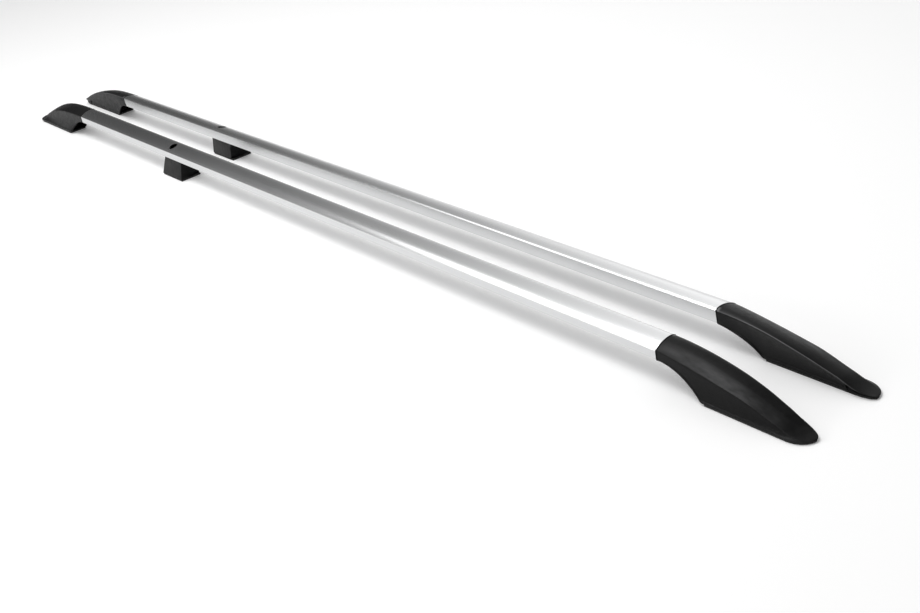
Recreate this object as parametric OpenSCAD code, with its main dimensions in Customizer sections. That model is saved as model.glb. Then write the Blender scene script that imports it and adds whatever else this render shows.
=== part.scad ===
// Pair of roof side rails for a car: two mirrored sides, each an aluminium
// rail carried by a front foot, a rear foot and a middle leg.
// Millimetres. +X to the front of the car, +Y to its left, +Z up.
// The origin is on the roof plane, in the middle of the pair.
// One side is built with X = 0 at the rail's rear end and Y growing inward
// from the outer face, then placed on the right and mirrored to the left.

/* [Rail section] */
// Width of the rail section
rail_w = 33.5; // [30:0.5:38]
// Height of the flat outer face
rail_outer_h = 13; // [12:0.5:15]
// Height of the flat inner face
rail_inner_h = 18.5; // [17:0.5:21]
// Lean of the inner face, inward at its foot
rail_lean = 1; // [0:0.5:2]
// Wall of the extrusion
rail_wall = 2.4; // [2:0.1:3]
// Chamfer on the two lower corners
rail_edge = 1; // [0.5:0.1:1.5]
// Swell of the crown above the outer crease
crown_out = 6; // [5:0.5:8]
// Swell of the crown above the inner crease
crown_in = 6.5; // [5:0.5:8]

/* [Layout] */
// Length of each rail between its feet
rail_len = 1700; // [1200:10:2000]
// Height of the rail's underside above the roof
rail_clear = 34; // [30:1:40]
// Gap between the two rails, laid side by side
pair_gap = 69; // [60:1:1100]
// Distance of the middle leg's screw from the rail's rear end
leg_x = 416; // [300:1:900]
// Diameter of the screw access hole in the crown
access_d = 16; // [13:0.5:17]

/* [Feet] */
// Reach of the front foot beyond the rail
front_len = 217; // [200:1:240]
// Reach of the rear foot beyond the rail
rear_len = 262; // [230:1:290]
// Distance from the rail's end to the heel of a foot
heel_u = 72; // [60:1:76]
// Outward flare of the front foot's base
front_flare = 4; // [2:0.5:6]
// Outward flare of the rear foot's base
rear_flare = 9; // [6:0.5:11]
// Inward tuck of the front foot's base
front_tuck = 8; // [6:0.5:10]
// Inward tuck of the rear foot's base
rear_tuck = 5; // [3:0.5:8]
// Wall of the moulded feet and leg
foot_wall = 2.8; // [2.4:0.1:3.2]
// Height of the rim round a foot's base
rim_h = 4; // [3:0.5:5]
// Step of that rim
rim_step = 0.8; // [0.4:0.1:1.2]
// Thickness of the seal between rail and foot
seal_t = 1.6; // [1.2:0.1:2.4]
// How far the seal stands proud of the rail
seal_proud = 0.5; // [0.2:0.1:0.8]
// Lean of the front heel, rearward towards the inner side
front_skew = 0.24; // [0:0.02:0.3]
// Thickness of the pads that meet the roof
pad_t = 3; // [2:0.5:4]
// Inset of a pad behind the moulding's edge
pad_inset = 1.2; // [0.8:0.1:1.6]

/* [Middle leg] */
// Length of the leg behind its screw, at the rail
leg_back = 19; // [15:1:24]
// Length of the leg ahead of its screw, at the rail
leg_ahead = 50; // [40:1:60]
// Rearward spread of the leg at its base
leg_spread = 10; // [6:1:16]
// Outward flare of the leg at its base
leg_flare = 8.5; // [4:0.5:10]
// Thickness of the ribs inside the leg
rib_t = 2; // [1.5:0.5:3]

/* [Brackets and fasteners] */
// Length of a bracket's spigot inside the rail
spigot_len = 60; // [45:1:80]
// Clearance between spigot and rail
spigot_gap = 0.3; // [0.2:0.05:0.4]
// Width of a bracket's web
web_w = 12; // [9:0.5:14]
// Thickness of a bracket's base plate
base_t = 6; // [5:0.5:7]
// Place of the roof fixing along a foot, as a share of its reach
fixing_share = 0.53; // [0.5:0.01:0.56]
// Place of the cover screw along a foot, as a share of its reach
cover_share = 0.7; // [0.68:0.01:0.72]
// Radius of the tapped hole for the roof stud
fixing_r = 3.4; // [3:0.1:4]
// Depth of that hole
fixing_depth = 15; // [12:0.5:17]
// Bore radius of the leg's steel sleeve
sleeve_bore_r = 3.3; // [3:0.1:3.6]
// Wall of the sleeve
sleeve_wall = 2; // [1.5:0.1:2.5]
// Clearance round the sleeve
sleeve_gap = 0.1; // [0.05:0.05:0.2]
// Length of the small screws
screw_len = 14; // [12:0.5:15]
// Diameter of the small screws
screw_d = 4.8; // [4:0.1:5]
// Diameter of their countersunk heads
screw_head_d = 9; // [8:0.5:10]
// Clearance round the small screws
screw_gap = 0.15; // [0.1:0.05:0.2]

/* [Hidden] */
$fn = 48;

// Points on the crown and on a foot's flank
crown_n = 12;
flank_n = 5;
// Rings of a foot along its heel arch, along the rest and along its hollow
arch_n = 10;
reach_n = 16;
hollow_n = 12;
// Sideways reach of the crown's swell from each crease
crown_out_y = 7;
crown_in_y = 7.5;
// Side length that every cut runs past the solid
past = 1;

// Rail section, Y inward and Z up from the underside's outer corner
function bez(a, b, c, d, t) =
    pow(1 - t, 3) * a + 3 * pow(1 - t, 2) * t * b + 3 * (1 - t) * t * t * c + pow(t, 3) * d;
function crown(outer, inner, out_pull, in_pull) =
    [for (i = [0:crown_n]) bez(outer, outer + out_pull, inner + in_pull, inner, i / crown_n)];
rail_crown = crown([0, rail_outer_h], [rail_w, rail_inner_h],
                   [crown_out_y, crown_out], [-crown_in_y, crown_in]);
crown_h = max([for (p = rail_crown) p[1]]);
function section() = concat(
    [[rail_w - rail_lean, rail_edge], [rail_w - rail_lean - rail_edge, 0], [rail_edge, 0], [0, rail_edge]],
    rail_crown);
// The section drawn in by a wall, or out by a negative one
function drawn_in(points, t) = [for (p = points)
    [t + p[0] * (rail_w - 2 * t) / rail_w, t + p[1] * (crown_h - 2 * t) / crown_h]];

// Places that follow from the sizes above
right_y = -(pair_gap / 2 + rail_w);
mid_x = (rail_len + front_len - rear_len) / 2;
hole_y = rail_w / 2 - 2;
rim_z = pad_t + rim_h;
base_z = pad_t + base_t;
screw_u = [-spigot_len * 0.7, -spigot_len * 0.3];
base_y = rail_w / 2 - 6;
base_w = 15;
base_from = heel_u + 18;
base_past = 10;
fixing_boss_r = 7.5;
fixing_boss_h = fixing_depth + 3;
cover_boss_r = 4.5;
drive_r = 1.6;
tip_y = rail_w / 2;

// Feet: u runs from the rail's end to the tip, t is u as a share of the reach
function smooth(t) = let (s = min(max(t, 0), 1)) s * s * (3 - 2 * s);
function soft_max(a, b, k) = (a + b + sqrt((a - b) * (a - b) + k * k)) / 2;
// Share of the full width that is left towards the rounded tip
tip_from = 0.87;
function tip_share(t) = t <= tip_from ? 1
    : sqrt(max(0.02, 1 - pow((t - tip_from) / (1 - tip_from), 2)));
// Share of the full height that is left there: the outer side falls away sooner
fall_from = 0.72;
tip_fall = 0.65;
function height_share(y, t) = sqrt(tip_share(t))
    * (1 - tip_fall * (1 - min(max(y / rail_w, 0), 1)) * smooth((t - fall_from) / (1 - fall_from)));

// A foot's shape: reach, outward flare, inward tuck, fall of the outer and of
// the inner crease, loss of crown towards the tip, lean of the heel, and how far
// the inner crease draws outward towards the tip
front_shape = [front_len, front_flare, front_tuck, [1.12, 1.77], [0.92, 1.9], 0.75, front_skew, 8];
rear_shape = [rear_len, rear_flare, rear_tuck, [1.17, 2.5], [0.98, 2.97], 0.7, 0, 3];
function fallen(t, fall) = 1 - fall[0] * pow(t, fall[1]);
function outer_z(t, shape) = soft_max(rim_z + 1, (rail_clear + rail_outer_h) * fallen(t, shape[3]), 2);
function inner_z(t, shape) = soft_max(rim_z + 1, (rail_clear + rail_inner_h) * fallen(t, shape[4]), 2);
function inner_y(t, shape) = rail_w - shape[7] * smooth((t - 0.45) / 0.5);
// The base flares out and tucks in over the first part of the reach
flared_at = 0.3;
function base_out(t, shape) = -shape[1] * smooth(t / flared_at);
function base_in(t, shape) = rail_w - rail_lean - (shape[2] - rail_lean) * smooth(t / flared_at);
function toward(p, t) =
    [tip_y + (p[0] - tip_y) * tip_share(t), pad_t + (p[1] - pad_t) * height_share(p[0], t)];
// One flank from the crease down, bent towards the point at, as far as the share end
function flank(top, at, foot, end) = [for (i = [1:flank_n]) let (s = end * i / flank_n)
    (1 - s) * (1 - s) * top + 2 * s * (1 - s) * at + s * s * foot];
function reversed(list) = [for (i = [len(list) - 1:-1:0]) list[i]];
// Height of the arch under the heel, u from the seal
arch_span = heel_u - seal_t;
function arch_z(u) = u >= arch_span ? 0 : rail_clear * (1 - pow(max(u, 0) / arch_span, 2.1));
// How far down a flank reaches at the height z
function share_at(top_z, at_z, foot_z, z) =
    let (a = top_z - 2 * at_z + foot_z, b = 2 * (top_z - at_z), c = top_z - z)
    2 * c / (b + sqrt(b * b - 4 * a * c));
// Flank and rim of one side, on the side outward of which is dir
function side_line(top, at, foot, low, step, dir) =
    let (end = share_at(top[1], at[1], foot[1], low + rim_h), line = flank(top, at, foot, end),
         last = line[flank_n - 1], y = last[0] + dir * step)
    concat(line, [[y, low + rim_h - rim_step], [y, low]]);
// Outline of a foot at t, from the outer base over the crown to the inner base
function foot_ring(t, shape) =
    let (oc = [0, outer_z(t, shape)], ic = [inner_y(t, shape), inner_z(t, shape)],
         bo = base_out(t, shape), bi = base_in(t, shape), u = t * (shape[0] - seal_t),
         swell = 1 - shape[5] * smooth(t / 0.8), step = rim_step * smooth(4 * t),
         out_low = max(pad_t, arch_z(u)), in_low = max(pad_t, arch_z(u + shape[6] * rail_w)),
         out_side = side_line(oc, [oc[0], rim_z + 0.45 * (oc[1] - rim_z)], [bo + rim_step, rim_z],
                              out_low, step, -1),
         in_side = side_line(ic, [bi - 2 * smooth(t / flared_at), rim_z + 0.5 * (ic[1] - rim_z)],
                             [bi - rim_step, rim_z], in_low, step, 1),
         ring = concat(reversed(out_side), crown(oc, ic, [crown_out_y, crown_out] * swell,
                                                 [-crown_in_y, crown_in] * swell), in_side))
    [for (p = ring) toward(p, t)];
// The same outline drawn in by the wall, its foot below the pad
function hollow_ring(t, shape) =
    let (ring = foot_ring(t, shape), n = len(ring), low = ring[0][0], high = ring[n - 1][0],
         mid = (low + high) / 2)
    [for (i = [0:n - 1]) let (p = ring[i])
        i == 0 ? [low + foot_wall, -past] : i == n - 1 ? [high - foot_wall, -past]
        : [p[0] + (p[0] < mid ? 1 : -1) * min(foot_wall, abs(p[0] - mid)),
           max(pad_t, p[1] - foot_wall)]];
function loft_faces(m, n) = concat(
    [[for (j = [n - 1:-1:0]) j]], [[for (j = [0:n - 1]) (m - 1) * n + j]],
    [for (i = [0:m - 2]) for (j = [0:n - 1])
        [i * n + j, (i + 1) * n + (j + 1) % n, (i + 1) * n + j]],
    [for (i = [0:m - 2]) for (j = [0:n - 1])
        [i * n + j, i * n + (j + 1) % n, (i + 1) * n + (j + 1) % n]]);

// Skins a list of rings, each at its own u
module loft(us, rings) {
    n = len(rings[0]);
    polyhedron(points = [for (i = [0:len(us) - 1]) for (p = rings[i]) [us[i], p[0], p[1]]],
               faces = loft_faces(len(us), n), convexity = 8);
}

// Extrudes a section drawn in Y and Z along X
module along_x(length) {
    rotate([90, 0, 90]) linear_extrude(length) children();
}

// Extrudes a profile drawn in X and Z across Y
module across_y(from, width) {
    translate([0, from + width, 0]) rotate([90, 0, 0]) linear_extrude(width) children();
}

// Places a piece of one side on the right, or mirrored on the left
module right() {
    translate([-mid_x, right_y, 0]) children();
}
module left() {
    mirror([0, 1, 0]) right() children();
}

// Puts a foot's pieces at the rail's front or rear end
module at_front() {
    translate([rail_len, 0, 0]) children();
}
module at_rear() {
    mirror([1, 0, 0]) children();
}

// Countersunk screw pointing up, its head's face at z = 0
module screw() {
    rotate_extrude() polygon([
        [0, drive_r], [drive_r, drive_r], [drive_r, 0], [screw_head_d / 2, 0],
        [screw_d / 2, rail_wall], [screw_d / 2, screw_len - screw_d / 4],
        [screw_d / 4, screw_len], [0, screw_len]]);
}

// Clearance cut for such a screw
module screw_cut() {
    translate([0, 0, -past]) cylinder(d = screw_head_d + 2 * screw_gap, h = past);
    cylinder(d1 = screw_head_d + 2 * screw_gap, d2 = screw_d + 2 * screw_gap, h = rail_wall);
    cylinder(d = screw_d + 2 * screw_gap, h = screw_len + 2 * screw_gap);
}

// The two screws that hold the rail on a bracket's spigot, or their cuts
module at_rail_screws() {
    for (u = screw_u) translate([u, hole_y, rail_clear]) children();
}

// Hollow extrusion with the leg's screw hole and the spigot screws' holes
module rail() {
    color("silver") difference() {
        translate([0, 0, rail_clear]) along_x(rail_len) difference() {
            polygon(section());
            polygon(drawn_in(section(), rail_wall));
        }
        translate([leg_x, hole_y, rail_clear + rail_wall + past])
            cylinder(d = access_d, h = crown_h + past);
        translate([leg_x, hole_y, rail_clear - past])
            cylinder(r = sleeve_bore_r, h = rail_wall + 2 * past);
        at_front() at_rail_screws() screw_cut();
        at_rear() at_rail_screws() screw_cut();
    }
}

// Soft ring between the rail's end and the foot, a little proud of both
module seal() {
    color("black") difference() {
        translate([0, 0, rail_clear]) along_x(seal_t) polygon(drawn_in(section(), -seal_proud));
        translate([-past, 0, rail_clear]) along_x(seal_t + 2 * past)
            polygon(drawn_in(section(), rail_wall));
    }
}

// Moulded foot: a hollow loft that runs from the rail's section to a low rounded
// tip, arched under the rail as far as its heel
module foot(shape) {
    length = shape[0] - seal_t;
    us = concat([for (i = [0:arch_n - 1]) arch_span * (1 - pow(1 - i / arch_n, 1.4))],
                [for (i = [0:reach_n]) arch_span + (length - arch_span) * (1 - pow(1 - i / reach_n, 1.6))]);
    hollow_to = 0.82;
    cover_u = shape[0] * cover_share;
    hollow_us = [for (i = [0:hollow_n]) length * hollow_to * i / hollow_n];
    color("dimgray") translate([seal_t, 0, 0]) difference() {
        loft(us, [for (u = us) foot_ring(u / length, shape)]);
        difference() {
            loft(hollow_us + [for (i = [0:hollow_n]) i == 0 ? -past : 0],
                 [for (u = hollow_us) hollow_ring(u / length, shape)]);
            translate([cover_u - seal_t, base_y, base_z]) cylinder(r = cover_boss_r, h = rail_clear);
        }
        translate([cover_u - seal_t, base_y, pad_t]) screw_cut();
    }
}

// Cast bracket: spigot in the rail, web down to a base plate with the roof fixing
module bracket(reach) {
    fixing_u = reach * fixing_share;
    cover_u = reach * cover_share;
    web_top = rail_clear + rail_outer_h - 2;
    web_low = rail_clear + rail_wall + spigot_gap;
    color("darkgray") difference() {
        union() {
            translate([-spigot_len, 0, rail_clear]) along_x(spigot_len)
                polygon(drawn_in(section(), rail_wall + spigot_gap));
            across_y(base_y - web_w / 2, web_w) polygon([
                [-web_w, web_low], [-web_w, web_top], [web_w, web_top], [heel_u / 2, web_top - 4],
                [fixing_u - fixing_boss_r, pad_t + fixing_boss_h],
                [fixing_u + fixing_boss_r, pad_t + fixing_boss_h],
                [cover_u - 2 * cover_boss_r, base_z], [cover_u - 2 * cover_boss_r, pad_t],
                [base_from, pad_t], [base_from - 4, base_z], [heel_u * 0.65, rail_clear - 3],
                [heel_u * 0.3, web_low]]);
            translate([base_from, base_y - base_w / 2, pad_t])
                cube([cover_u + base_past - base_from, base_w, base_t]);
            translate([fixing_u, base_y, pad_t]) cylinder(r = fixing_boss_r, h = fixing_boss_h);
        }
        translate([fixing_u, base_y, pad_t - past]) cylinder(r = fixing_r, h = fixing_depth + past);
        translate([cover_u, base_y, pad_t]) screw_cut();
        at_rail_screws() cylinder(d = screw_d + 2 * screw_gap, h = screw_len + 2 * screw_gap);
    }
}

// Soft pad under a foot, inside the rim
module foot_pad(shape) {
    length = shape[0] - seal_t;
    function from(side) = (heel_u - seal_t + pad_inset - (side > 0 ? shape[6] * rail_w : 0)) / length;
    function edge(t, side) = let (y = side < 0 ? base_out(t, shape) : base_in(t, shape))
        [seal_t + t * length - pad_inset * smooth((t - tip_from) / (1 - tip_from)),
         tip_y + (y - tip_y - side * pad_inset) * tip_share(t)];
    function edges(side) = [for (i = [0:12])
        edge(from(side) + (1 - from(side)) * (1 - pow(1 - i / 12, 2)), side)];
    color([0.12, 0.12, 0.12]) difference() {
        linear_extrude(pad_t) polygon(concat(edges(-1), reversed(edges(1))));
        translate([shape[0] * fixing_share, base_y, -past])
            cylinder(r = 2 * fixing_r, h = pad_t + 2 * past);
        translate([shape[0] * cover_share, base_y, -past])
            cylinder(d = screw_head_d + 2 * past, h = pad_t + 2 * past);
    }
}

// Middle leg: a tapered hollow block that the roof screw clamps under the rail
module leg() {
    boss_r = sleeve_bore_r + sleeve_wall + foot_wall;
    color("dimgray") translate([leg_x, 0, 0]) difference() {
        leg_block(0, pad_t);
        difference() {
            leg_block(foot_wall, -past);
            translate([0, hole_y, 0]) cylinder(r = boss_r, h = rail_clear);
            translate([-rib_t / 2, -rail_w, 0]) cube([rib_t, 3 * rail_w, rail_clear]);
            translate([0, hole_y - rib_t / 2, 0]) cube([leg_ahead, rib_t, rail_clear]);
        }
        translate([0, hole_y, -past])
            cylinder(r = sleeve_bore_r + sleeve_wall + sleeve_gap, h = rail_clear + 2 * past);
    }
}

// Outside of the leg, drawn in by a wall, its base at the height low
module leg_block(wall, low) {
    back = leg_back + leg_spread;
    top = rail_clear - wall;
    intersection() {
        across_y(-2 * rail_w, 4 * rail_w) polygon([
            [wall - back, low], [leg_ahead - wall, low], [leg_ahead - wall, top], [wall - leg_back, top]]);
        translate([-back, 0, 0]) along_x(back + leg_ahead) polygon([
            [wall - leg_flare, low], [rail_w - wall, low], [rail_w - rail_lean - wall, top], [wall, top]]);
    }
}

// Steel sleeve through the leg, just clear of the roof
module leg_sleeve() {
    color("lightgray") translate([leg_x, hole_y, 0]) difference() {
        translate([0, 0, pad_t / 6]) cylinder(r = sleeve_bore_r + sleeve_wall, h = rail_clear - pad_t / 6);
        translate([0, 0, -past]) cylinder(r = sleeve_bore_r, h = rail_clear + 2 * past);
    }
}

// Soft pad under the leg
module leg_pad() {
    back = leg_back + leg_spread - pad_inset;
    color([0.12, 0.12, 0.12]) translate([leg_x, 0, 0]) difference() {
        translate([-back, pad_inset - leg_flare, 0])
            cube([back + leg_ahead - pad_inset, leg_flare + rail_w - 2 * pad_inset, pad_t]);
        translate([0, hole_y, -past])
            cylinder(r = sleeve_bore_r + sleeve_wall + sleeve_gap, h = pad_t + 2 * past);
    }
}

// Screws that hold the rail on a bracket's spigot
module rail_screws() {
    color("gray") at_rail_screws() screw();
}

// Screw that holds a foot down on its bracket
module cover_screw(reach) {
    color("gray") translate([reach * cover_share, base_y, pad_t]) screw();
}

right() rail();  // right_rail
right() leg();  // right_leg
right() leg_sleeve();  // right_leg_sleeve
right() leg_pad();  // right_leg_pad
right() at_front() foot(front_shape);  // right_front_foot
right() at_front() bracket(front_len);  // right_front_bracket
right() at_front() foot_pad(front_shape);  // right_front_pad
right() at_front() seal();  // right_front_seal
right() at_front() rail_screws();  // right_front_rail_screws
right() at_front() cover_screw(front_len);  // right_front_cover_screw
right() at_rear() foot(rear_shape);  // right_rear_foot
right() at_rear() bracket(rear_len);  // right_rear_bracket
right() at_rear() foot_pad(rear_shape);  // right_rear_pad
right() at_rear() seal();  // right_rear_seal
right() at_rear() rail_screws();  // right_rear_rail_screws
right() at_rear() cover_screw(rear_len);  // right_rear_cover_screw
left() rail();  // left_rail
left() leg();  // left_leg
left() leg_sleeve();  // left_leg_sleeve
left() leg_pad();  // left_leg_pad
left() at_front() foot(front_shape);  // left_front_foot
left() at_front() bracket(front_len);  // left_front_bracket
left() at_front() foot_pad(front_shape);  // left_front_pad
left() at_front() seal();  // left_front_seal
left() at_front() rail_screws();  // left_front_rail_screws
left() at_front() cover_screw(front_len);  // left_front_cover_screw
left() at_rear() foot(rear_shape);  // left_rear_foot
left() at_rear() bracket(rear_len);  // left_rear_bracket
left() at_rear() foot_pad(rear_shape);  // left_rear_pad
left() at_rear() seal();  // left_rear_seal
left() at_rear() rail_screws();  // left_rear_rail_screws
left() at_rear() cover_screw(rear_len);  // left_rear_cover_screw
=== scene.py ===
"""Roof side rail pair on a plain pale floor: two satin aluminium rails, each on
two moulded black feet and a short middle leg."""

import math

import bmesh
import bpy
from mathutils import Matrix, Vector


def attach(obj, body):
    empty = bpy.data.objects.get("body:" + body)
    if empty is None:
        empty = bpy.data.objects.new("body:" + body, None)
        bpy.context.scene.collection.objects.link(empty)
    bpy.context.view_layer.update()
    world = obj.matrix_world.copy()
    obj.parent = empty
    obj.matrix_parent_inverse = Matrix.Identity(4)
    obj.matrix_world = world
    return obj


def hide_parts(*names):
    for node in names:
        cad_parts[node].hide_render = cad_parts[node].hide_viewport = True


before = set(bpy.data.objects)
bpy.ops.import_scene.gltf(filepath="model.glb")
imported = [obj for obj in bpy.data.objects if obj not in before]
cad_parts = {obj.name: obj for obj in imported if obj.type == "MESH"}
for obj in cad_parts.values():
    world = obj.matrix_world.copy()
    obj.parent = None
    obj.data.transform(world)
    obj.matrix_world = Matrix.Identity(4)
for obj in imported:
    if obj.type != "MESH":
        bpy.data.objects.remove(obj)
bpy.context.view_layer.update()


# Ground, light and camera.
# A wide pale floor in a pale studio that falls dark behind the rear ends, with
# one large soft box overhead, a small one toward the rear and a strip at the near side.
def added(tree, kind, inputs=None, **settings):
    """A node with its settings, each input set, or linked where it is given a socket."""
    node = tree.nodes.new(kind)
    for name, value in settings.items():
        setattr(node, name, value)
    for name, value in (inputs or {}).items():
        if isinstance(value, bpy.types.NodeSocket):
            tree.links.new(value, node.inputs[name])
        else:
            node.inputs[name].default_value = value
    return node


floor_mesh = bpy.data.meshes.new("floor")
floor_reach = 150.0
corners = [(x * floor_reach, y * floor_reach, 0) for x, y in ((-1, -1), (1, -1), (1, 1), (-1, 1))]
floor_mesh.from_pydata(corners, [], [(0, 1, 2, 3)])
floor = bpy.data.objects.new("floor", floor_mesh)
bpy.context.scene.collection.objects.link(floor)
floor_paint = bpy.data.materials.new("floor_paint")
floor_paint.use_nodes = True
floor_shader = floor_paint.node_tree.nodes["Principled BSDF"].inputs
floor_shader["Base Color"].default_value = (0.93, 0.93, 0.93, 1)
floor_shader["Roughness"].default_value = 0.6
floor_shader["Specular IOR Level"].default_value = 0.2
# The floor shows a little brighter to the camera than the light it returns, so the ground reads white.
extra_glow = 0.12
seen = added(floor_paint.node_tree, "ShaderNodeLightPath")
glow = added(floor_paint.node_tree, "ShaderNodeMath",
             {0: seen.outputs["Is Camera Ray"], 1: extra_glow}, operation="MULTIPLY")
floor_shader["Emission Color"].default_value = (1, 1, 1, 1)
floor_paint.node_tree.links.new(glow.outputs[0], floor_shader["Emission Strength"])
floor_mesh.materials.append(floor_paint)

world = bpy.data.worlds.new("studio")
bpy.context.scene.world = world
world.use_nodes = True
studio = world.node_tree
studio.nodes.clear()
# The studio is dark low down behind the rear ends, and brightens toward the front
# and to both sides of a line that climbs from there.
climb_angle, bend = math.radians(65), 0.054
direction = added(studio, "ShaderNodeTexCoord").outputs["Generated"]
toward = added(studio, "ShaderNodeSeparateXYZ", {"Vector": direction})
climb = added(studio, "ShaderNodeMath", {0: toward.outputs["Z"], 1: toward.outputs["Y"]}, operation="ARCTAN2")
climb = added(studio, "ShaderNodeMath", {0: climb.outputs[0], 1: climb_angle}, operation="SUBTRACT")
climb = added(studio, "ShaderNodeMath", {0: climb.outputs[0], 1: climb.outputs[0]}, operation="MULTIPLY")
place = added(studio, "ShaderNodeMath", {0: climb.outputs[0], 1: bend, 2: toward.outputs["X"]},
              operation="MULTIPLY_ADD")
darkest, plain = -0.92, 0.0
place = added(studio, "ShaderNodeMapRange",
              {"Value": place.outputs[0], "From Min": darkest, "From Max": plain})
brightness = added(studio, "ShaderNodeValToRGB", {"Fac": place.outputs["Result"]})
levels = brightness.color_ramp.elements
for at, grey in ((-0.9, 0.075), (-0.87, 0.11), (-0.82, 0.27), (-0.76, 0.54), (-0.69, 0.87), (-0.64, 1.05),
                 (-0.6, 1.25), (-0.45, 1.15), (-0.25, 0.5), (-0.05, 0.32)):
    stop = levels.new((at - darkest) / (plain - darkest))
    stop.color = (grey, grey, grey, 1)
levels.remove(levels[0])
levels.remove(levels[-1])
sky = added(studio, "ShaderNodeBackground", {"Color": brightness.outputs["Color"], "Strength": 1.0})
added(studio, "ShaderNodeOutputWorld", {"Surface": sky.outputs["Background"]})

for name, at, size, power in (("overhead_box", (-0.35, -0.6, 3.0), (2.4, 1.4), 58),
                              ("rear_box", (-1.6, -0.55, 2.0), (1.1, 0.7), 3.5),
                              ("near_strip", (-0.45, -1.85, 0.85), (0.9, 0.35), 6)):
    lamp = bpy.data.lights.new(name, "AREA")
    lamp.shape = "RECTANGLE"
    lamp.size, lamp.size_y = size
    lamp.energy = power
    holder = bpy.data.objects.new(name, lamp)
    bpy.context.scene.collection.objects.link(holder)
    holder.matrix_world = Matrix.Translation(at) @ (-Vector(at)).to_track_quat("-Z", "Y").to_matrix().to_4x4()

camera_at = Vector((1.884, -0.9675, 0.8296))
yaw, pitch, roll = math.radians(-57.33), math.radians(26.83), math.radians(-11.4)
forward = Vector((math.sin(yaw) * math.cos(pitch), math.cos(yaw) * math.cos(pitch), -math.sin(pitch)))
level_right = Vector((math.cos(yaw), -math.sin(yaw), 0))
level_up = level_right.cross(forward)
right = math.cos(roll) * level_right + math.sin(roll) * level_up
up = -math.sin(roll) * level_right + math.cos(roll) * level_up
camera = bpy.data.objects.new("camera", bpy.data.cameras.new("camera"))
bpy.context.scene.collection.objects.link(camera)
camera.matrix_world = Matrix.Translation(camera_at) @ Matrix((right, up, -forward)).transposed().to_4x4()
camera.data.sensor_width = 36.0
camera.data.lens = 52.27
camera.data.clip_start = 0.01
bpy.context.scene.camera = camera
bpy.context.scene.view_settings.view_transform = "Standard"


# Rails.
# Each is one hollow aluminium extrusion with a flat outer face, a taller flat
# inner face and a domed crown, cut square, drilled, then brushed and anodised.
MM = 0.001
SIDES = {"right": 1, "left": -1}
RAIL_LENGTH, RAIL_WIDTH, RAIL_WALL, RAIL_CLEAR = 1700.0, 33.5, 2.4, 34.0
OUTER_HEIGHT, INNER_HEIGHT, LOWER_CHAMFER = 13.0, 18.5, 1.0
CROWN_OUT, CROWN_IN = (7.0, 6.0), (-7.5, 6.5)
OUTER_LINE = -68.0
FRONT_REACH, REAR_REACH = 217.0, 262.0
MIDDLE = (RAIL_LENGTH + FRONT_REACH - REAR_REACH) / 2
LEG_X, SCREW_LINE, NEAR_SCREW, SCREW_SPACING = 416.0, RAIL_WIDTH / 2 - 2, 18.0, 24.0
ACCESS_RADIUS, ACCESS_FROM, ACCESS_TO, FLOOR_DRILL = 8.0, 5.0, 40.0, 10.0
SINK_TOP, SINK_DEPTH, SINK_LOWERED = 2.2, 3.8, 1.0

surface_noise = bpy.data.node_groups.new("surface_noise", "ShaderNodeTree")
for name, kind, value in (("Place", "Vector", None), ("Stretch", "Vector", (1, 1, 1)),
                          ("Scale", "Float", 100.0), ("Detail", "Float", 3.0),
                          ("Low", "Float", 0.0), ("High", "Float", 1.0)):
    socket = surface_noise.interface.new_socket(name=name, in_out="INPUT", socket_type=f"NodeSocket{kind}")
    if value is not None:
        socket.default_value = value
surface_noise.interface.new_socket(name="Value", in_out="OUTPUT", socket_type="NodeSocketFloat")
given = added(surface_noise, "NodeGroupInput").outputs
stretched = added(surface_noise, "ShaderNodeVectorMath",
                  {0: given["Place"], 1: given["Stretch"]}, operation="MULTIPLY")
noise = added(surface_noise, "ShaderNodeTexNoise",
              {"Vector": stretched.outputs[0], "Scale": given["Scale"], "Detail": given["Detail"]})
spread = added(surface_noise, "ShaderNodeMapRange",
               {"Value": noise.outputs["Fac"], "From Min": 0.3, "From Max": 0.7,
                "To Min": given["Low"], "To Max": given["High"]})
added(surface_noise, "NodeGroupOutput", {"Value": spread.outputs["Result"]})


def finish_of(name, dark, light, roughness, patches, grain, depth, **constants):
    """A material whose colour and roughness wander over patches, with a fine grain in relief.

    patches and grain are each a noise's scale, detail and stretch; depth is the relief in mm.
    """
    material = bpy.data.materials.new(name)
    material.use_nodes = True
    tree = material.node_tree
    shader = tree.nodes["Principled BSDF"]
    for socket, value in constants.items():
        shader.inputs[socket.replace("_", " ")].default_value = value
    place = added(tree, "ShaderNodeTexCoord").outputs["Object"]

    def wander(noise_scale, low=0.0, high=1.0):
        scale, detail, stretch = noise_scale
        values = {"Place": place, "Stretch": stretch, "Scale": scale, "Detail": detail,
                  "Low": low, "High": high}
        return added(tree, "ShaderNodeGroup", values, node_tree=surface_noise).outputs["Value"]

    tone = added(tree, "ShaderNodeMix", {"Factor": wander(patches)}, data_type="RGBA")
    tone.inputs["A"].default_value = (*dark, 1)
    tone.inputs["B"].default_value = (*light, 1)
    tree.links.new(tone.outputs["Result"], shader.inputs["Base Color"])
    tree.links.new(wander(patches, *roughness), shader.inputs["Roughness"])
    relief = added(tree, "ShaderNodeBump", {"Height": wander(grain), "Distance": depth * MM, "Strength": 0.6})
    tree.links.new(relief.outputs["Normal"], shader.inputs["Normal"])
    return material


rail_aluminium = finish_of("rail_aluminium", (0.66, 0.665, 0.67), (0.73, 0.735, 0.74), (0.17, 0.21),
                           (6, 3, (0.3, 1, 1)), (900, 3, (0.01, 1, 1)), 0.004, Metallic=1.0)

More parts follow.
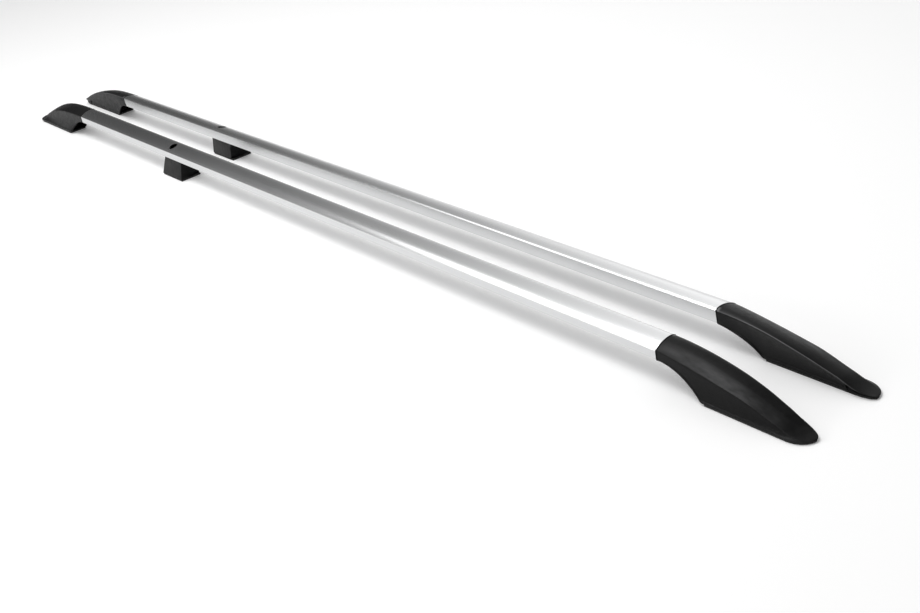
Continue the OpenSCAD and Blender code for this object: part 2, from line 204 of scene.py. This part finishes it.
# The wall of the wide access hole carries painted shade: everything within its radius, on either side, is
# coloured near black.
tree = rail_aluminium.node_tree
shader = tree.nodes["Principled BSDF"].inputs
place = added(tree, "ShaderNodeSeparateXYZ", {"Vector": added(tree, "ShaderNodeTexCoord").outputs["Object"]})
across = added(tree, "ShaderNodeMath", {0: place.outputs["Y"]}, operation="ABSOLUTE")
across = added(tree, "ShaderNodeCombineXYZ", {"X": place.outputs["X"], "Y": across.outputs[0]})
away = added(tree, "ShaderNodeVectorMath",
             {0: across.outputs["Vector"], 1: ((LEG_X - MIDDLE) * MM, (-OUTER_LINE - SCREW_LINE) * MM, 0)},
             operation="DISTANCE")
just_past_wall = (ACCESS_RADIUS + 0.05) * MM
outside = added(tree, "ShaderNodeMath",
                {0: away.outputs["Value"], 1: just_past_wall}, operation="GREATER_THAN")
# Painted shade: near black stands in for the darkness down the deep hole, not the metal's own colour.
painted_hole_shade = added(tree, "ShaderNodeMix", {"Factor": outside.outputs[0]}, data_type="RGBA")
painted_hole_shade.inputs["A"].default_value = (0.015, 0.015, 0.015, 1)
tree.links.new(shader["Base Color"].links[0].from_socket, painted_hole_shade.inputs["B"])
tree.links.new(painted_hole_shade.outputs["Result"], shader["Base Color"])


def placed(points, side):
    """Points of one side, in mm, put on the right or mirrored to the left."""
    return [(x - MIDDLE, SIDES[side] * (OUTER_LINE + y), z) for x, y, z in points]


def crown_line(outer, inner, swell, count):
    """Points of the domed top between the two creases."""
    out_pull = (outer[0] + CROWN_OUT[0], outer[1] + CROWN_OUT[1] * swell)
    in_pull = (inner[0] + CROWN_IN[0], inner[1] + CROWN_IN[1] * swell)
    points = []
    for i in range(count + 1):
        t = i / count
        weights = ((1 - t) ** 3, 3 * (1 - t) ** 2 * t, 3 * (1 - t) * t * t, t ** 3)
        points.append(tuple(sum(w * p[k] for w, p in zip(weights, (outer, out_pull, in_pull, inner)))
                            for k in (0, 1)))
    return points


def eased_corner(points, at, reach, count=5):
    """The same closed line with the corner at one index rounded over a short reach."""
    before, corner, after = (Vector(points[i % len(points)]) for i in (at - 1, at, at + 1))
    start = corner + (before - corner).normalized() * min(reach, (before - corner).length * 0.8)
    end = corner + (after - corner).normalized() * min(reach, (after - corner).length * 0.8)
    curve = [tuple((1 - t) ** 2 * start + 2 * t * (1 - t) * corner + t * t * end)
             for t in (i / (count - 1) for i in range(count))]
    return points[:at] + curve + points[at + 1:]


def finished(solid, material, edge_angle=32):
    """Faces outward, smooth where the surface runs on, and sharp at its edges."""
    work = bmesh.new()
    work.from_mesh(solid.data)
    bmesh.ops.remove_doubles(work, verts=work.verts, dist=1e-7)
    bmesh.ops.dissolve_degenerate(work, edges=work.edges, dist=1e-7)
    bmesh.ops.recalc_face_normals(work, faces=work.faces)
    work.to_mesh(solid.data)
    work.free()
    for face in solid.data.polygons:
        face.use_smooth = True
    solid.data.set_sharp_from_angle(angle=math.radians(edge_angle))
    solid.data.materials.clear()
    solid.data.materials.append(material)
    return solid


def solid_of(name, points, faces):
    """An object from points in mm and faces."""
    mesh = bpy.data.meshes.new(name)
    mesh.from_pydata([(x * MM, y * MM, z * MM) for x, y, z in points], [], faces)
    solid = bpy.data.objects.new(name, mesh)
    bpy.context.scene.collection.objects.link(solid)
    return solid


def built(tree, sockets, solid, values):
    """Runs a geometry node tree on an object and keeps the result as its plain mesh."""
    modifier = solid.modifiers.new(tree.name, "NODES")
    modifier.node_group = tree
    for name, value in values.items():
        modifier[sockets[name]] = value
    mesh = bpy.data.meshes.new_from_object(solid.evaluated_get(bpy.context.evaluated_depsgraph_get()))
    solid.modifiers.clear()
    solid.data = mesh
    return solid


def tree_inputs(tree, kinds):
    """Gives a geometry tree its named inputs and its one output, and says where each input is set."""
    tree.interface.new_socket(name="Made", in_out="OUTPUT", socket_type="NodeSocketGeometry")
    sockets = {name: tree.interface.new_socket(name=name, in_out="INPUT", socket_type=f"NodeSocket{kind}")
               for name, kind in kinds.items()}
    return {name: socket.identifier for name, socket in sockets.items()}


extrusion = bpy.data.node_groups.new("drilled_extrusion", "GeometryNodeTree")
extrusion_sockets = tree_inputs(extrusion, {
    "End Face": "Geometry", "Length": "Float", "Leg Hole": "Vector", "Access Radius": "Float",
    "Screw Radius": "Float", "Head Radius": "Float", "First Screw": "Float", "Screw Spacing": "Float",
    "Move": "Vector", "Hand": "Vector", "Finish": "Material"})
given = added(extrusion, "NodeGroupInput").outputs
run = added(extrusion, "ShaderNodeCombineXYZ", {"X": given["Length"]})
drawn = added(extrusion, "GeometryNodeExtrudeMesh",
              {"Mesh": given["End Face"], "Offset": run.outputs["Vector"], "Individual": False}, mode="FACES")
back_end = added(extrusion, "GeometryNodeFlipFaces", {"Mesh": given["End Face"]})
bar = added(extrusion, "GeometryNodeJoinGeometry", {"Geometry": drawn.outputs["Mesh"]})
extrusion.links.new(back_end.outputs["Mesh"], bar.inputs["Geometry"])
bar = added(extrusion, "GeometryNodeMergeByDistance", {"Geometry": bar.outputs["Geometry"], "Distance": 1e-6})
# The leg's screw drops through a wide hole in the crown and a close one in the floor.
access_drill = added(extrusion, "GeometryNodeMeshCylinder",
                     {"Vertices": 96, "Radius": given["Access Radius"],
                      "Depth": (ACCESS_TO - ACCESS_FROM) * MM})
above = added(extrusion, "ShaderNodeVectorMath",
              {0: given["Leg Hole"], 1: (0, 0, (ACCESS_FROM + ACCESS_TO) / 2 * MM)}, operation="ADD")
access_drill = added(extrusion, "GeometryNodeTransform",
                     {"Geometry": access_drill.outputs["Mesh"], "Translation": above.outputs[0]})
screw_drill = added(extrusion, "GeometryNodeMeshCylinder",
                    {"Vertices": 64, "Radius": given["Screw Radius"], "Depth": FLOOR_DRILL * MM})
screw_drill = added(extrusion, "GeometryNodeTransform",
                    {"Geometry": screw_drill.outputs["Mesh"], "Translation": given["Leg Hole"]})
# Two countersinks at each end, from below.
sink = added(extrusion, "GeometryNodeMeshCone",
             {"Vertices": 64, "Radius Bottom": given["Head Radius"], "Radius Top": SINK_TOP * MM,
              "Depth": SINK_DEPTH * MM})
hole_line = added(extrusion, "ShaderNodeSeparateXYZ", {"Vector": given["Leg Hole"]})
sink_level = added(extrusion, "ShaderNodeMath",
                   {0: hole_line.outputs["Z"], 1: SINK_LOWERED * MM}, operation="SUBTRACT")
from_front = added(extrusion, "ShaderNodeMath",
                   {0: given["Length"], 1: given["First Screw"]}, operation="SUBTRACT")
turned_back = added(extrusion, "ShaderNodeMath", {0: given["Screw Spacing"], 1: -1.0}, operation="MULTIPLY")
rows = added(extrusion, "GeometryNodeJoinGeometry")
for first, spacing in ((given["First Screw"], given["Screw Spacing"]),
                       (from_front.outputs[0], turned_back.outputs[0])):
    start = added(extrusion, "ShaderNodeCombineXYZ",
                  {"X": first, "Y": hole_line.outputs["Y"], "Z": sink_level.outputs[0]})
    step = added(extrusion, "ShaderNodeCombineXYZ", {"X": spacing})
    row = added(extrusion, "GeometryNodeMeshLine",
                {"Count": 2, "Start Location": start.outputs["Vector"], "Offset": step.outputs["Vector"]})
    extrusion.links.new(row.outputs["Mesh"], rows.inputs["Geometry"])
sinks = added(extrusion, "GeometryNodeInstanceOnPoints",
              {"Points": rows.outputs["Geometry"], "Instance": sink.outputs["Mesh"]})
sinks = added(extrusion, "GeometryNodeRealizeInstances", {"Geometry": sinks.outputs["Instances"]})
drilled = added(extrusion, "GeometryNodeMeshBoolean", {"Mesh 1": bar.outputs["Geometry"]},
                operation="DIFFERENCE", solver="EXACT")
for cutter in (access_drill, screw_drill, sinks):
    extrusion.links.new(cutter.outputs["Geometry"], drilled.inputs["Mesh 2"])
moved = added(extrusion, "GeometryNodeTransform",
              {"Geometry": drilled.outputs["Mesh"], "Translation": given["Move"], "Scale": given["Hand"]})
whole = added(extrusion, "GeometryNodeRealizeInstances", {"Geometry": moved.outputs["Geometry"]})
painted = added(extrusion, "GeometryNodeSetMaterial",
                {"Geometry": whole.outputs["Geometry"], "Material": given["Finish"]})
added(extrusion, "NodeGroupOutput", {"Made": painted.outputs["Geometry"]})

# The section runs from the lower inner corner under the rail and over the crown.
section = [(RAIL_WIDTH - 1, LOWER_CHAMFER), (RAIL_WIDTH - 2, 0.0), (LOWER_CHAMFER, 0.0), (0.0, LOWER_CHAMFER)]
section += crown_line((0.0, OUTER_HEIGHT), (RAIL_WIDTH, INNER_HEIGHT), 1.0, 44)
crown_top = max(z for _, z in section)
outline = eased_corner(eased_corner(section, len(section) - 1, 0.8), 4, 0.8)


def drawn_in(line, wall):
    """A section's line moved inward by a wall."""
    return [(wall + y * (RAIL_WIDTH - 2 * wall) / RAIL_WIDTH, wall + z * (crown_top - 2 * wall) / crown_top)
            for y, z in line]


count = len(outline)
end_points = [(0.0, y, RAIL_CLEAR + z) for y, z in outline + drawn_in(outline, RAIL_WALL)]
end_faces = [(i, (i + 1) % count, count + (i + 1) % count, count + i) for i in range(count)]
for side, hand in SIDES.items():
    rail = solid_of(f"{side}_rail_extrusion", end_points, end_faces)
    built(extrusion, extrusion_sockets, rail, {
        "Length": RAIL_LENGTH * MM, "Leg Hole": (LEG_X * MM, SCREW_LINE * MM, RAIL_CLEAR * MM),
        "Access Radius": ACCESS_RADIUS * MM, "Screw Radius": 0.0033, "Head Radius": 0.005525,
        "First Screw": NEAR_SCREW * MM, "Screw Spacing": SCREW_SPACING * MM,
        "Move": (-MIDDLE * MM, hand * OUTER_LINE * MM, 0.0), "Hand": (1.0, float(hand), 1.0),
        "Finish": rail_aluminium})
    finished(rail, rail_aluminium)
    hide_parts(f"{side}_rail")
    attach(rail, "root")


# Seals.
# A soft rubber ring closes the joint between each rail end and its foot, and
# stands half a millimetre proud of both with its two outer edges rounded.
SEAL, SEAL_PROUD = 1.6, 0.5
END_X = {"front": (RAIL_LENGTH, 1), "rear": (0.0, -1)}
soft_rubber = finish_of("soft_rubber", (0.002, 0.002, 0.002), (0.004, 0.004, 0.0038), (0.6, 0.75),
                        (60, 5, (1, 1, 1)), (1200, 3, (1, 1, 1)), 0.05, Specular_IOR_Level=0.1)


def hooped(name, loops, side, end, material):
    """A ring-shaped solid through loops of points round the rail's line, closed on itself."""
    across = len(loops[0][1])
    start, sense = END_X[end]
    points = [p for x, line in loops for p in placed([(start + sense * x, y, z) for y, z in line], side)]
    faces = [(i * across + j, i * across + (j + 1) % across,
              (i + 1) % len(loops) * across + (j + 1) % across, (i + 1) % len(loops) * across + j)
             for i in range(len(loops)) for j in range(across)]
    return finished(solid_of(name, points, faces), material)


for side in SIDES:
    for end in END_X:
        edge = ((0.0, 0.2), (0.1, 0.38), (0.3, SEAL_PROUD))
        loops = [(x, drawn_in(outline, -proud)) for x, proud in edge]
        loops += [(SEAL - x, drawn_in(outline, -proud)) for x, proud in reversed(edge)]
        loops += [(x, drawn_in(outline, RAIL_WALL)) for x in (SEAL, 0.0)]
        loops = [(x, [(y, RAIL_CLEAR + z) for y, z in line]) for x, line in loops]
        seal = hooped(f"{side}_{end}_seal_ring", loops, side, end, soft_rubber)
        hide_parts(f"{side}_{end}_seal")
        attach(seal, "root")


# Feet.
# Hollow mouldings in grained black plastic that run from the rail's section down
# to a low rounded tip, with a dished flank, a stepped rim and an arched heel.
PAD, RIM_HEIGHT, RIM_STEP, FOOT_WALL, HEEL = 3.0, 4.0, 0.8, 2.8, 72.0
RIM_TOP, ARCH_SPAN, FLARED_AT = PAD + RIM_HEIGHT, HEEL - SEAL, 0.3
TIP_Y, TIP_FROM, HOLLOW_TO = RAIL_WIDTH / 2, 0.87, 0.82
ARCH_CURVE, OUTER_BEND, INNER_BEND, CREASE_EASE = 2.1, 0.45, 0.5, 1.0
DRAW_FROM, DRAW_OVER, CROWN_FLAT_AT, HOLLOW_OVER = 0.45, 0.5, 0.8, 0.03
WORN_ALL, WORN_TIP, WORN_OVER = 5, 40, 0.35
CROWN_STEPS, ARCH_STEPS, TIP_STEPS, TIP_CROWDING = 30, 30, 70, 1.7
# Lengths are in mm, and places along a foot are shares of its reach. flare and tuck move the base out
# and in. outer and inner are how much of its height each crease loses and the power it falls by, and
# loss is how flat the crown gets. lean moves the inner arch, draw pulls the inner crease outward, and
# fade is where the creases start to wear away. Toward the tip the outer side drops by tip_fall, the
# whole by droop, and the end is rounded off from sink_from; end is the inner crease's last height.
FOOT_SHAPES = {
    "front": dict(reach=FRONT_REACH, flare=4.0, tuck=8.0, outer=(0.80, 1.247), inner=(0.995, 1.886),
                  loss=0.75, lean=0.24, draw=3.9, fade=0.65, tip_fall=0.616, fall_from=0.556,
                  droop=0.7, droop_from=0.793, sink_from=0.763, end=14.5),
    "rear": dict(reach=REAR_REACH, flare=9.0, tuck=5.0, outer=(1.172, 2.969), inner=(1.006, 2.811),
                 loss=0.7, lean=0.0, draw=0.0, fade=0.6, tip_fall=0.86, fall_from=0.795,
                 droop=0.441, droop_from=0.882, sink_from=0.808, end=15.8),
}
black_moulding = finish_of("black_moulding", (0.0018, 0.0018, 0.0019), (0.0045, 0.0045, 0.0047), (0.32, 0.46),
                           (140, 5, (1, 1, 1)), (1500, 4, (1, 1, 1)), 0.12, Specular_IOR_Level=0.13)

# The sharp inner creases carry a painted highlight, a pale line standing in for the light they catch, and the
# outer half of each front crown carries a painted sheen in patches.
tree = black_moulding.node_tree
shader = tree.nodes["Principled BSDF"].inputs
surface = added(tree, "ShaderNodeNewGeometry").outputs
place = added(tree, "ShaderNodeTexCoord").outputs["Object"]
parts = added(tree, "ShaderNodeSeparateXYZ", {"Vector": place}).outputs
along = parts["X"]
across = added(tree, "ShaderNodeMath", {0: parts["Y"]}, operation="ABSOLUTE").outputs[0]
upward = added(tree, "ShaderNodeSeparateXYZ", {"Vector": surface["Normal"]}).outputs["Z"]
painted_sheen_patches = added(tree, "ShaderNodeGroup",
               {"Place": place, "Stretch": (0.3, 1, 1), "Scale": 90, "Detail": 6, "Low": 0.5, "High": 1.0},
               node_tree=surface_noise).outputs["Value"]


def laid_over(colour, *bounded):
    """A further colour over the base, full where every value has passed its second bound."""
    share = None
    for value, low, high in bounded:
        part = added(tree, "ShaderNodeMapRange", {"Value": value, "From Min": low, "From Max": high})
        part = part.outputs["Result"]
        if share is not None:
            part = added(tree, "ShaderNodeMath", {0: share, 1: part}, operation="MULTIPLY").outputs[0]
        share = part
    over = added(tree, "ShaderNodeMix", {"Factor": share}, data_type="RGBA")
    tree.links.new(shader["Base Color"].links[0].from_socket, over.inputs["A"])
    over.inputs["B"].default_value = (*colour, 1)
    tree.links.new(over.outputs["Result"], shader["Base Color"])


# Painted sheen: the upward outer half of each front crown is lightened in cloudy patches to stand in for the
# overhead lamp's reflection.
laid_over((0.08, 0.08, 0.082), (upward, 0.6, 0.95), (across, 0.05, 0.06), (painted_sheen_patches, 0.4, 1.0),
          (along, 0.86, 0.94), (along, 1.06, 0.98))
# Painted highlight: pale colour along the sharp inner crease stands in for the light its rounded edge
# catches.
laid_over((0.15, 0.15, 0.153), (surface["Pointiness"], 0.505, 0.53), (across, 0.042, 0.038),
          (upward, 0.1, 0.4))


def smooth(t):
    """Eases from 0 to 1."""
    s = min(max(t, 0.0), 1.0)
    return s * s * (3 - 2 * s)


def soft_max(a, b, k):
    """The larger of two values, with a soft change between them."""
    return (a + b + math.sqrt((a - b) ** 2 + k * k)) / 2


def arch_height(u):
    """Height of the open arch under the heel."""
    return 0.0 if u >= ARCH_SPAN else RAIL_CLEAR * (1 - (max(u, 0.0) / ARCH_SPAN) ** ARCH_CURVE)


def flank_line(top, bend, foot, low, step, side, count=14):
    """One flank from its crease down to the rim, then the rim itself."""
    a, b, c = top[1] - 2 * bend[1] + foot[1], 2 * (top[1] - bend[1]), top[1] - low - RIM_HEIGHT
    end = 2 * c / (b + math.sqrt(b * b - 4 * a * c))
    line = []
    for i in range(1, count + 1):
        s = end * i / count
        line.append(tuple((1 - s) ** 2 * top[k] + 2 * s * (1 - s) * bend[k] + s * s * foot[k]
                          for k in (0, 1)))
    y = line[-1][0] + side * step
    return line + [(y, low + RIM_HEIGHT - RIM_STEP), (y, low + 0.5), (y - side * 0.5, low)]


def softened(line, passes):
    """The same line with its corners above the rim worn rounder, a little in each pass."""
    for _ in range(passes):
        line = line[:4] + [tuple((a + 2 * b + c) / 4 for a, b, c in zip(line[i - 1], line[i], line[i + 1]))
                           for i in range(4, len(line) - 4)] + line[-4:]
    return line


def rounded_off(t, start):
    """Falls from 1 along a quarter ellipse, almost to 0 at the very tip."""
    return 1.0 if t <= start else math.sqrt(max(0.006, 1 - ((t - start) / (1 - start)) ** 2))


def foot_line(t, shape):
    """A foot's outline at a share of its reach, from outer base to inner base."""
    fall = [1 - shape[k][0] * t ** shape[k][1] for k in ("outer", "inner")]
    outer = (0.0, soft_max(RIM_TOP + 1, (RAIL_CLEAR + OUTER_HEIGHT) * fall[0], 2))
    inner = (RAIL_WIDTH - shape["draw"] * smooth((t - DRAW_FROM) / DRAW_OVER),
             soft_max(shape["end"], (RAIL_CLEAR + INNER_HEIGHT) * fall[1], 0.3 * shape["end"]))
    flared = smooth(t / FLARED_AT)
    base_out = -shape["flare"] * flared
    base_in = RAIL_WIDTH - 1 - (shape["tuck"] - 1) * flared
    step, u = RIM_STEP * smooth(4 * t), t * (shape["reach"] - SEAL)
    low_out, low_in = (max(PAD, arch_height(x)) for x in (u, u + shape["lean"] * RAIL_WIDTH))
    out_line = flank_line(outer, (outer[0], RIM_TOP + OUTER_BEND * (outer[1] - RIM_TOP)),
                          (base_out + RIM_STEP, RIM_TOP), low_out, step, -1)
    in_line = flank_line(inner, (base_in - 2 * flared, RIM_TOP + INNER_BEND * (inner[1] - RIM_TOP)),
                         (base_in - RIM_STEP, RIM_TOP), low_in, step, 1)
    crown = crown_line(outer, inner, 1 - shape["loss"] * smooth(t / CROWN_FLAT_AT), CROWN_STEPS)
    line = out_line[::-1] + crown + in_line
    line = eased_corner(line, len(out_line) + CROWN_STEPS, CREASE_EASE)
    line = eased_corner(line, len(out_line), CREASE_EASE)
    line = softened(line, WORN_ALL)
    worn = smooth((t - shape["fade"]) / WORN_OVER)
    line = [tuple(a + (b - a) * worn for a, b in zip(*pair)) for pair in zip(line, softened(line, WORN_TIP))]
    share = rounded_off(t, TIP_FROM)
    sunk = math.sqrt(rounded_off(t, shape["sink_from"])) * (
        1 - shape["droop"] * smooth((t - shape["droop_from"]) / (1 - shape["droop_from"])))
    falling = shape["tip_fall"] * smooth((t - shape["fall_from"]) / (1 - shape["fall_from"]))
    return [(TIP_Y + (y - TIP_Y) * share,
             PAD + (z - PAD) * sunk * (1 - falling * (1 - min(max(y / RAIL_WIDTH, 0.0), 1.0))))
            for y, z in line]


def lined(line, depth):
    """The inside of an outline, one wall in, closed back to its start; depth 0 leaves it solid."""
    low, high = line[0], line[-1]
    middle = (low[0] + high[0]) / 2
    inside = []
    for y, z in line:
        base = low[1] if y < middle else high[1]
        inward = min(FOOT_WALL, abs(y - middle) * 0.9)
        inside.append((y + math.copysign(inward, middle - y), base + max(z - FOOT_WALL - base, 0.0) * depth))
    return inside[::-1]


def faces_between(rings, around):
    """Faces from each ring of points to the next, with one face at either end."""
    faces = [(i * around + j, i * around + (j + 1) % around,
              (i + 1) * around + (j + 1) % around, (i + 1) * around + j)
             for i in range(rings - 1) for j in range(around)]
    return faces + [tuple(range(around)), tuple(range((rings - 1) * around, rings * around))]


for end, shape in FOOT_SHAPES.items():
    reach = shape["reach"] - SEAL
    steps = [ARCH_SPAN * i / ARCH_STEPS for i in range(ARCH_STEPS)]
    steps += [ARCH_SPAN + (reach - ARCH_SPAN) * (1 - (1 - i / TIP_STEPS) ** TIP_CROWDING)
              for i in range(TIP_STEPS + 1)]
    start, sense = END_X[end]
    for side in SIDES:
        points = []
        for u in steps:
            line = foot_line(u / reach, shape)
            line += lined(line, 1 - smooth((u / reach - HOLLOW_TO) / HOLLOW_OVER))
            points += placed([(start + sense * (SEAL + u), y, z) for y, z in line], side)
        faces = faces_between(len(steps), len(line))
        foot = finished(solid_of(f"{side}_{end}_foot_moulding", points, faces), black_moulding)
        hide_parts(f"{side}_{end}_foot")
        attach(foot, "root")


# Middle legs.
# A short tapered block in the same grained plastic stands under each rail. It is
# hollow from below, with ribs and a boss round the steel sleeve.
LEG_BACK, LEG_AHEAD, LEG_SPREAD, LEG_FLARE, RIB = 19.0, 50.0, 10.0, 8.5, 2.0
LEG_BULGE, LEG_CORNER, LEG_STEPS, SLEEVE_OUTSIDE = 10.0, 1.6, 12, 5.4
BULGE_TOP = 22.0


def leg_ring(z, wall, corner):
    """The leg's outline at a height, drawn in by a wall; its inner edge ahead curves with height."""
    down = (RAIL_CLEAR - wall - z) / (RAIL_CLEAR - wall - PAD)
    back = wall - LEG_BACK - LEG_SPREAD * down
    outer, inner = wall - LEG_FLARE * down, RAIL_WIDTH - wall - (1 - down)
    ahead = LEG_AHEAD - wall
    ring = [(back, outer), (ahead, outer),
            (ahead - LEG_BULGE * ((z - BULGE_TOP) / BULGE_TOP) ** 2, inner), (back, inner)]
    for at in (3, 2, 1, 0):
        if corner:
            ring = eased_corner(ring, at, corner, 7)
    return [(LEG_X + x, y, z) for x, y in ring]


def stacked(name, rings, side, material):
    """A closed solid through rings stacked one above the other."""
    points = [p for ring in rings for p in placed(ring, side)]
    return finished(solid_of(name, points, faces_between(len(rings), len(rings[0]))), material)


def upright(radius, low, high, x, y, count=64):
    """Rings of a round upright pin."""
    turns = [2 * math.pi * k / count for k in range(count)]
    return [[(x + radius * math.cos(turn), y + radius * math.sin(turn), z) for turn in turns]
            for z in (low, high)]


def boxed(x0, x1, y0, y1, low, high):
    """Rings of an upright plate."""
    return [[(x0, y0, z), (x1, y0, z), (x1, y1, z), (x0, y1, z)] for z in (low, high)]


def cut_from(solid, cutter):
    """Takes one solid out of another and removes the cutter."""
    modifier = solid.modifiers.new("cut", "BOOLEAN")
    modifier.object = cutter
    modifier.solver = "EXACT"
    mesh = bpy.data.meshes.new_from_object(solid.evaluated_get(bpy.context.evaluated_depsgraph_get()))
    solid.modifiers.clear()
    solid.data = mesh
    bpy.data.objects.remove(cutter)


for side in SIDES:
    heights = [PAD + (RAIL_CLEAR - PAD) * i / LEG_STEPS for i in range(LEG_STEPS + 1)]
    leg = stacked(f"{side}_middle_leg", [leg_ring(z, 0.0, LEG_CORNER) for z in heights], side, black_moulding)
    pocket = stacked("pocket", [leg_ring(z, FOOT_WALL, 0.0) for z in (PAD - 2, RAIL_CLEAR - FOOT_WALL)],
                     side, black_moulding)
    # A boss, a cross rib and a rib ahead stay in the pocket, so they come off its cutter.
    for rings in (upright(SLEEVE_OUTSIDE + FOOT_WALL, -5, 40, LEG_X, SCREW_LINE),
                  boxed(LEG_X - RIB / 2, LEG_X + RIB / 2, -30, 60, -5, 40),
                  boxed(LEG_X + 5, LEG_X + 60, SCREW_LINE - RIB / 2, SCREW_LINE + RIB / 2, -6, 41)):
        cut_from(pocket, stacked("rib", rings, side, black_moulding))
    cut_from(leg, pocket)
    sleeve_hole = upright(SLEEVE_OUTSIDE, -5, 40, LEG_X, SCREW_LINE)
    cut_from(leg, stacked("sleeve_hole", sleeve_hole, side, black_moulding))
    finished(leg, black_moulding)
    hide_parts(f"{side}_leg")
    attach(leg, "root")


# Screws.
# Zinc-plated countersunk screws with a six-sided socket: two hold each rail on a
# bracket from below, and one holds each foot down on its bracket.
BASE_LINE, COVER_SHARE = RAIL_WIDTH / 2 - 6, 0.7
SOCKET_DRILL, CORE_FROM, THREAD_FROM, THREAD_SHORTER = 3.2, 1.8, 3.5, 4.5
zinc_steel = finish_of("zinc_steel", (0.5, 0.51, 0.52), (0.62, 0.62, 0.61), (0.22, 0.36),
                       (260, 4, (1, 1, 1)), (900, 3, (1, 1, 1)), 0.01, Metallic=1.0)
screw_tree = bpy.data.node_groups.new("countersunk_screws", "GeometryNodeTree")
screw_sockets = tree_inputs(screw_tree, {
    "Count": "Int", "First": "Vector", "Spacing": "Vector", "Head Radius": "Float", "Head Depth": "Float",
    "Core Radius": "Float", "Thread Radius": "Float", "Length": "Float", "Socket Radius": "Float",
    "Turns": "Float", "Finish": "Material"})
given = added(screw_tree, "NodeGroupInput").outputs
head = added(screw_tree, "GeometryNodeMeshCone",
             {"Vertices": 48, "Radius Bottom": given["Head Radius"], "Radius Top": given["Core Radius"],
              "Depth": given["Head Depth"]})
socket_drill = added(screw_tree, "GeometryNodeMeshCylinder",
                     {"Vertices": 6, "Radius": given["Socket Radius"], "Depth": SOCKET_DRILL * MM})
head = added(screw_tree, "GeometryNodeMeshBoolean", {"Mesh 1": head.outputs["Mesh"]},
             operation="DIFFERENCE", solver="EXACT")
screw_tree.links.new(socket_drill.outputs["Mesh"], head.inputs["Mesh 2"])
core_run = added(screw_tree, "ShaderNodeMath", {0: given["Length"], 1: CORE_FROM * MM}, operation="SUBTRACT")
core = added(screw_tree, "GeometryNodeMeshCylinder",
             {"Vertices": 32, "Radius": given["Core Radius"], "Depth": core_run.outputs[0]})
core_middle = added(screw_tree, "ShaderNodeMath", {0: core_run.outputs[0], 1: 0.5}, operation="MULTIPLY")
core_middle = added(screw_tree, "ShaderNodeMath",
                    {0: core_middle.outputs[0], 1: CORE_FROM * MM}, operation="ADD")
core_lift = added(screw_tree, "ShaderNodeCombineXYZ", {"Z": core_middle.outputs[0]})
core = added(screw_tree, "GeometryNodeTransform",
             {"Geometry": core.outputs["Mesh"], "Translation": core_lift.outputs["Vector"]})
thread_run = added(screw_tree, "ShaderNodeMath",
                   {0: given["Length"], 1: THREAD_SHORTER * MM}, operation="SUBTRACT")
helix = added(screw_tree, "GeometryNodeCurveSpiral",
              {"Resolution": 24, "Rotations": given["Turns"], "Start Radius": given["Core Radius"],
               "End Radius": given["Core Radius"], "Height": thread_run.outputs[0]})
ridge = added(screw_tree, "ShaderNodeMath",
              {0: given["Thread Radius"], 1: given["Core Radius"]}, operation="SUBTRACT")
ridge = added(screw_tree, "GeometryNodeCurvePrimitiveCircle", {"Resolution": 4, "Radius": ridge.outputs[0]})
thread = added(screw_tree, "GeometryNodeCurveToMesh",
               {"Curve": helix.outputs["Curve"], "Profile Curve": ridge.outputs["Curve"], "Fill Caps": True})
thread = added(screw_tree, "GeometryNodeTransform",
               {"Geometry": thread.outputs["Mesh"], "Translation": (0, 0, THREAD_FROM * MM)})
screw = added(screw_tree, "GeometryNodeJoinGeometry")
for part in (head.outputs["Mesh"], core.outputs["Geometry"], thread.outputs["Geometry"]):
    screw_tree.links.new(part, screw.inputs["Geometry"])
row = added(screw_tree, "GeometryNodeMeshLine",
            {"Count": given["Count"], "Start Location": given["First"], "Offset": given["Spacing"]})
row = added(screw_tree, "GeometryNodeInstanceOnPoints",
            {"Points": row.outputs["Mesh"], "Instance": screw.outputs["Geometry"]})
row = added(screw_tree, "GeometryNodeRealizeInstances", {"Geometry": row.outputs["Instances"]})
row = added(screw_tree, "GeometryNodeSetMaterial",
            {"Geometry": row.outputs["Geometry"], "Material": given["Finish"]})
added(screw_tree, "NodeGroupOutput", {"Made": row.outputs["Geometry"]})

for side in SIDES:
    for end, (start, sense) in END_X.items():
        rail_x = start - sense * (NEAR_SCREW + SCREW_SPACING)
        cover_x = start + sense * COVER_SHARE * FOOT_SHAPES[end]["reach"]
        for kind, first, count, spacing in (
                ("rail_screws", (rail_x, SCREW_LINE, RAIL_CLEAR), 2, sense * SCREW_SPACING * MM),
                ("cover_screw", (cover_x, BASE_LINE, PAD), 1, 0.0)):
            screws = solid_of(f"{side}_{end}_{kind}_set", [], [])
            built(screw_tree, screw_sockets, screws, {
                "Count": count, "First": [v * MM for v in placed([first], side)[0]],
                "Spacing": (spacing, 0.0, 0.0), "Head Radius": 0.0045, "Head Depth": 0.0024,
                "Core Radius": 0.00205, "Thread Radius": 0.0024, "Length": 0.014,
                "Socket Radius": 0.0016, "Turns": 8.0, "Finish": zinc_steel})
            finished(screws, zinc_steel)
            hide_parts(f"{side}_{end}_{kind}")
            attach(screws, "root")


# Brackets, sleeves and pads.
# The castings inside the feet, the steel tubes in the legs and the rubber sheets
# under all of them are right as built, and only take their finish here.
black_casting = finish_of("black_casting", (0.02, 0.02, 0.021), (0.035, 0.035, 0.036), (0.45, 0.6),
                          (350, 5, (1, 1, 1)), (350, 5, (1, 1, 1)), 0.2)
sheet_rubber = finish_of("sheet_rubber", (0.011, 0.011, 0.011), (0.02, 0.02, 0.019), (0.65, 0.8),
                         (60, 5, (1, 1, 1)), (1200, 3, (1, 1, 1)), 0.08)
for ending, material in (("bracket", black_casting), ("pad", sheet_rubber), ("leg_sleeve", zinc_steel)):
    for name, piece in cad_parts.items():
        if name.endswith(ending):
            piece.data.materials.clear()
            piece.data.materials.append(material)
